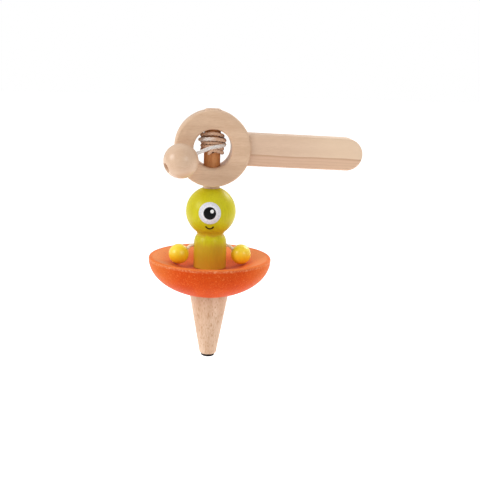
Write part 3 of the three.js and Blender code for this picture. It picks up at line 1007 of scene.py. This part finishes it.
def build_saucer(material):
    rim_height = SAUCER_RIM - LIP_EDGE
    depth = SAUCER_DEPTH - LIP_EDGE
    seat = CONE_TOP_RADIUS + GAP
    seat_height = CONE_TOP + GAP
    core = CORE_RADIUS + GAP
    seat_angle = math.acos(seat / SAUCER_RADIUS)
    under = []
    for angle in np.linspace(-seat_angle, 0, 40):
        under.append((SAUCER_RADIUS * math.cos(angle), rim_height + depth * math.sin(angle)))
    ease = 4  # to each side of the corner where the dish's slope meets its floor
    ease_end = (DISH_FLOOR_RADIUS + ease, DISH_FLOOR + ease * DISH_SLOPE)
    profile = (
        [(core, seat_height), (seat, seat_height)]
        + under
        + arc(SAUCER_RADIUS - LIP_EDGE, rim_height, LIP_EDGE, 0, 90)[1:]
        + bend(ease_end, (DISH_FLOOR_RADIUS, DISH_FLOOR), (DISH_FLOOR_RADIUS - ease, DISH_FLOOR), 12)
        + [(core, DISH_FLOOR)]
    )
    saucer = turned("saucer_bowl", profile, 160, loop=True)
    finish_piece(saucer, material, "top", "saucer")


def build_cone(material):
    edge = 0.5
    core = CORE_RADIUS + GAP
    nail = NAIL_RADIUS + GAP
    profile = (
        [(nail, CONE_TIP)]
        + bend(
            (CONE_TIP_RADIUS - edge, CONE_TIP),
            (CONE_TIP_RADIUS, CONE_TIP),
            (CONE_TIP_RADIUS + edge / 5, CONE_TIP + edge),
            5,
        )
        + [(CONE_TOP_RADIUS - 0.1, CONE_TOP - 0.4), (CONE_TOP_RADIUS - 0.3, CONE_TOP), (core, CONE_TOP)]
        + [(core, CORE_BASE - GAP), (nail, CORE_BASE - 1)]
    )
    cone = turned("tip_cone", profile, 80, loop=True)
    finish_piece(cone, material, "top", "cone")


def build_tack(material):
    profile = (
        bend((0, 0), (TACK_RADIUS * 0.8, 0), (TACK_RADIUS, TACK_RIM_LOW), 10)
        + [(TACK_RADIUS, TACK_RIM_HIGH - 0.15), (TACK_RADIUS - 0.15, TACK_RIM_HIGH)]
        + [(NAIL_RADIUS, TACK_RIM_HIGH)]
        + [(NAIL_RADIUS, NAIL_TOP - 2 * NAIL_RADIUS), (0, NAIL_TOP)]
    )
    tack = turned("tack", profile, 48)
    finish_piece(tack, material, "top", "tip_tack")


# ---------------------------------------------------------------- face

FACE_TURN = math.radians(-5.4)  # the face looks a little to the ball's side
EYE_LIFT = math.radians(4.2)  # of the eye's middle above the head's


def on_head(turn, lift, radius):
    """A point on the head: turn round from the front to +X, lift above the head's middle."""
    return Vector((
        radius * math.cos(lift) * math.sin(turn),
        -radius * math.cos(lift) * math.cos(turn),
        HEAD_HEIGHT + radius * math.sin(lift),
    ))


def head_patch(name, direction, outer, material, proud, inner=0):
    """A thin round patch of ink on the head. outer and inner are angles from its middle, in degrees."""
    buried = 0.1
    edge = math.degrees(proud / HEAD_RADIUS)
    angles = np.linspace(inner, outer - edge, 9)
    top = [(HEAD_RADIUS + proud, a) for a in angles]
    rim = [(HEAD_RADIUS + proud * 0.5, outer), (HEAD_RADIUS - buried, outer)]
    under = [(HEAD_RADIUS - buried, a) for a in angles[::-1]]
    profile = [(r * math.sin(math.radians(a)), r * math.cos(math.radians(a))) for r, a in top + rim + under]
    patch = turned(name, profile, 64, facing((0, 0, HEAD_HEIGHT), direction))
    patch.data.materials.append(material)
    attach(patch, "top")
    return patch


def build_smile(material):
    """A short curved stroke of ink under the eye."""
    reach = math.radians(10.2)
    sag = math.radians(9.4)
    end_lift = math.radians(-25.6)
    steps = 32
    half_width = 0.5
    points = []
    for angle in np.radians(np.linspace(192, 348, steps + 1)):
        turn = FACE_TURN + reach * math.cos(angle)
        lift = end_lift + sag * math.sin(angle)
        points.append(tuple(on_head(turn, lift, HEAD_RADIUS)))
    line = np.array(points)
    normals = line - np.array((0, 0, HEAD_HEIGHT))
    normals /= np.linalg.norm(normals, axis=1)[:, None]
    tangents = np.gradient(line, axis=0)
    tangents /= np.linalg.norm(tangents, axis=1)[:, None]
    across = np.cross(normals, tangents)
    places = []
    section = ((-1, -0.1), (-0.8, 0.05), (0, 0.07), (0.8, 0.05), (1, -0.1))
    for i in range(steps + 1):
        end = min(i, steps - i) / 2
        narrow = min(1, 0.3 + 0.7 * math.sqrt(end)) if end < 1 else 1
        for side, lift in section:
            places.append(line[i] + across[i] * side * half_width * narrow + normals[i] * lift)
    count = len(section)
    faces = [list(range(count)), list(range(len(places) - count, len(places)))]
    for i in range(steps):
        for j in range(count):
            k = (j + 1) % count
            faces.append((i * count + j, i * count + k, (i + 1) * count + k, (i + 1) * count + j))
    smile = add_mesh("smile", [at(*place) for place in places], faces)
    smile.data.materials.append(material)
    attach(smile, "top")


def build_face():
    white = ink("eye_white_ink", (232, 233, 242))
    bright = ink("eye_bright_ink", (246, 245, 250))
    black = ink("eye_black_ink", (14, 13, 16))
    glint = ink("eye_glint_ink", (252, 252, 252))
    brown = ink("smile_ink", (40, 20, 14))
    head_middle = Vector((0, 0, HEAD_HEIGHT))
    look = on_head(FACE_TURN, EYE_LIFT, 1) - head_middle
    head_patch("eye_white", look, 25.8, white, 0.05)
    head_patch("eye_bright", look, 19.5, bright, 0.07)
    head_patch("eye_pupil", look, 14.6, black, 0.10)
    glint_turn = FACE_TURN + math.radians(5.2)
    glint_lift = EYE_LIFT + math.radians(4.4)
    spark = on_head(glint_turn, glint_lift, 1) - head_middle
    head_patch("eye_glint", spark, 4.4, glint, 0.13)
    build_smile(brown)


# ---------------------------------------------------------------- arms

ARM_DROP = SHOULDER_BORE_HEIGHT - HAND_HEIGHT
ARM_RUN = HAND_REACH - BODY_RADIUS
ARM_LENGTH = math.hypot(ARM_RUN, ARM_DROP)


def arm_point(side, along, out=0.0):
    """A point on an arm, from its hinge on the body's side: along the arm, and out to its upper side."""
    down = Vector((ARM_RUN, 0, -ARM_DROP)).normalized()
    up = Vector((ARM_DROP, 0, ARM_RUN)).normalized()
    local = Vector((BODY_RADIUS, 0, SHOULDER_BORE_HEIGHT)) + down * along + up * out
    return Vector((side * local.x, 0, local.z))


def build_hand(name, side, material):
    bore_radius = ARM_CORD_RADIUS + GAP
    bore_end = HAND_BORE_DEPTH - HAND_RADIUS
    start = math.degrees(math.acos(bore_radius / HAND_RADIUS))
    profile = (
        [(0, bore_end), (bore_radius, bore_end)]
        + arc(0, 0, HAND_RADIUS, -start, 90, 32)[:-1]
        + [(0, HAND_RADIUS)]
    )
    centre = from_frame(middle(f"{name}_hand"))
    direction = arm_point(side, 1) - arm_point(side, 0)
    bead = turned(f"{name}_bead", profile, 64, facing(centre, direction))
    finish_piece(bead, material, f"{name}_arm", f"{name}_hand")


def build_arm_cord(name, side, material):
    """The short cord from inside the body to inside the bead, arched a little where it shows."""
    inside = arm_point(side, 0) - Vector((side * 2.0, 0, 0))
    points = [
        inside,
        arm_point(side, 0) - Vector((side * 0.3, 0, 0)),
        arm_point(side, 1.6, 0.45),
        arm_point(side, 3.2, 0.15),
        arm_point(side, 5.0),
        arm_point(side, 6.8),
        arm_point(side, ARM_LENGTH - HAND_RADIUS + HAND_BORE_DEPTH - GAP),
    ]
    line = evenly(smooth_curve([tuple(point) for point in points], 10), 0.3)
    radius = ARM_CORD_RADIUS * ARM_CORD_FLUFF
    cord = twisted_cord(f"{name}_arm_cord_laid", line, radius, ARM_LAY_LENGTH)
    cord.data.materials.append(material)
    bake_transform(cord)
    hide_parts(f"{name}_arm_cord")


# ---------------------------------------------------------------- the whole


def keep_node(node, material):
    """A CAD node that stays as it is, with a better material."""
    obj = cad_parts[node]
    obj.data.materials.clear()
    obj.data.materials.append(material)


def build():
    add_camera()
    wound_length = length_of(winding_line())
    # painted shade on the wound cord, up to its paler outer end
    wound_shade = ((232, 200, 172), (186, 128, 88), wound_length - UNSHADED_WINDING)
    pull_cotton = cotton("pull_cotton", (246, 241, 238), (216, 204, 194), wound_shade)
    arm_cotton = cotton("arm_cotton", (255, 248, 230), (250, 228, 196))
    build_pull_cord(pull_cotton)

    launcher_wood = wood("beech_ring", (232, 200, 170), (202, 164, 132), "x", "Z", fleck=0.35, figure=0.08)
    handle_wood = wood("beech_handle", (232, 202, 176), (212, 178, 150), "x", "Z", 0.25, tint=handle_figure_and_light)
    ball_wood = wood("beech_ball", (230, 200, 172), (208, 170, 138), "x", "Z", fleck=0.2, gloss=0.6)
    stem_wood = wood("beech_stem", (244, 214, 186), (188, 144, 110), "z", "X", fleck=0.6, tint=window_shade)
    cone_wood = wood(
        "beech_cone", (238, 208, 182), (190, 144, 106), "z", "X", fleck=0.9, gloss=0.03, pores=1.7
    )
    build_ring(launcher_wood)
    build_handle(handle_wood)
    build_ball(ball_wood)
    build_stem(stem_wood)
    build_figure(stained_wood("green_stain", (214, 208, 26), (196, 186, 20), gloss=0.12, tint=body_shade_and_bounce))
    build_saucer(stained_wood("orange_stain", (220, 84, 26), (206, 70, 20), "y", 0.0, 0.03, saucer_figure_and_light))
    build_cone(cone_wood)
    build_tack(dark_steel("blackened_tack"))
    build_face()
    yellow = stained_wood("yellow_paint", (255, 232, 44), (255, 220, 34), gloss=0.5, specular=0.5)
    for name, side in (("left", -1), ("right", 1)):
        build_hand(name, side, yellow)
        build_arm_cord(name, side, arm_cotton)
    for node in ("handle_dowel", "core_dowel"):
        keep_node(node, handle_wood)
    keep_node("arm_cord_core", arm_cotton)
    add_floor(pale_floor("pale_floor"))
    add_studio()


build()
